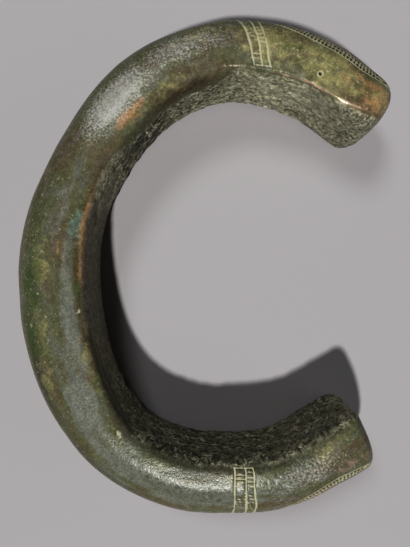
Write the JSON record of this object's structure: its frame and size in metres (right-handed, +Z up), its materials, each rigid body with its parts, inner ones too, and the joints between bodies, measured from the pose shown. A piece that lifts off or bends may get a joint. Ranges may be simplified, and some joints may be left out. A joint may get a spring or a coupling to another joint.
{
  "type": "bronze torc",
  "caption": "Open C-shaped neck ring of cast bronze with a D section, ringed collars and a leaf panel on each terminal, lying flat.",
  "frame": {"origin": "on the surface it lies on, below the centre of its bounding box", "axes": "+X from the bow towards the mouth, +Y from the lower terminal to the upper one, +Z up"},
  "size_m": [0.1374, 0.181, 0.0363],
  "materials": {
    "bronze": "old cast bronze, olive-brown patina with green patches, satin shine on the shoulder, rough dark inner wall"
  },
  "bodies": {
    "root": {"torc": "bronze"}
  },
  "joints": []
}
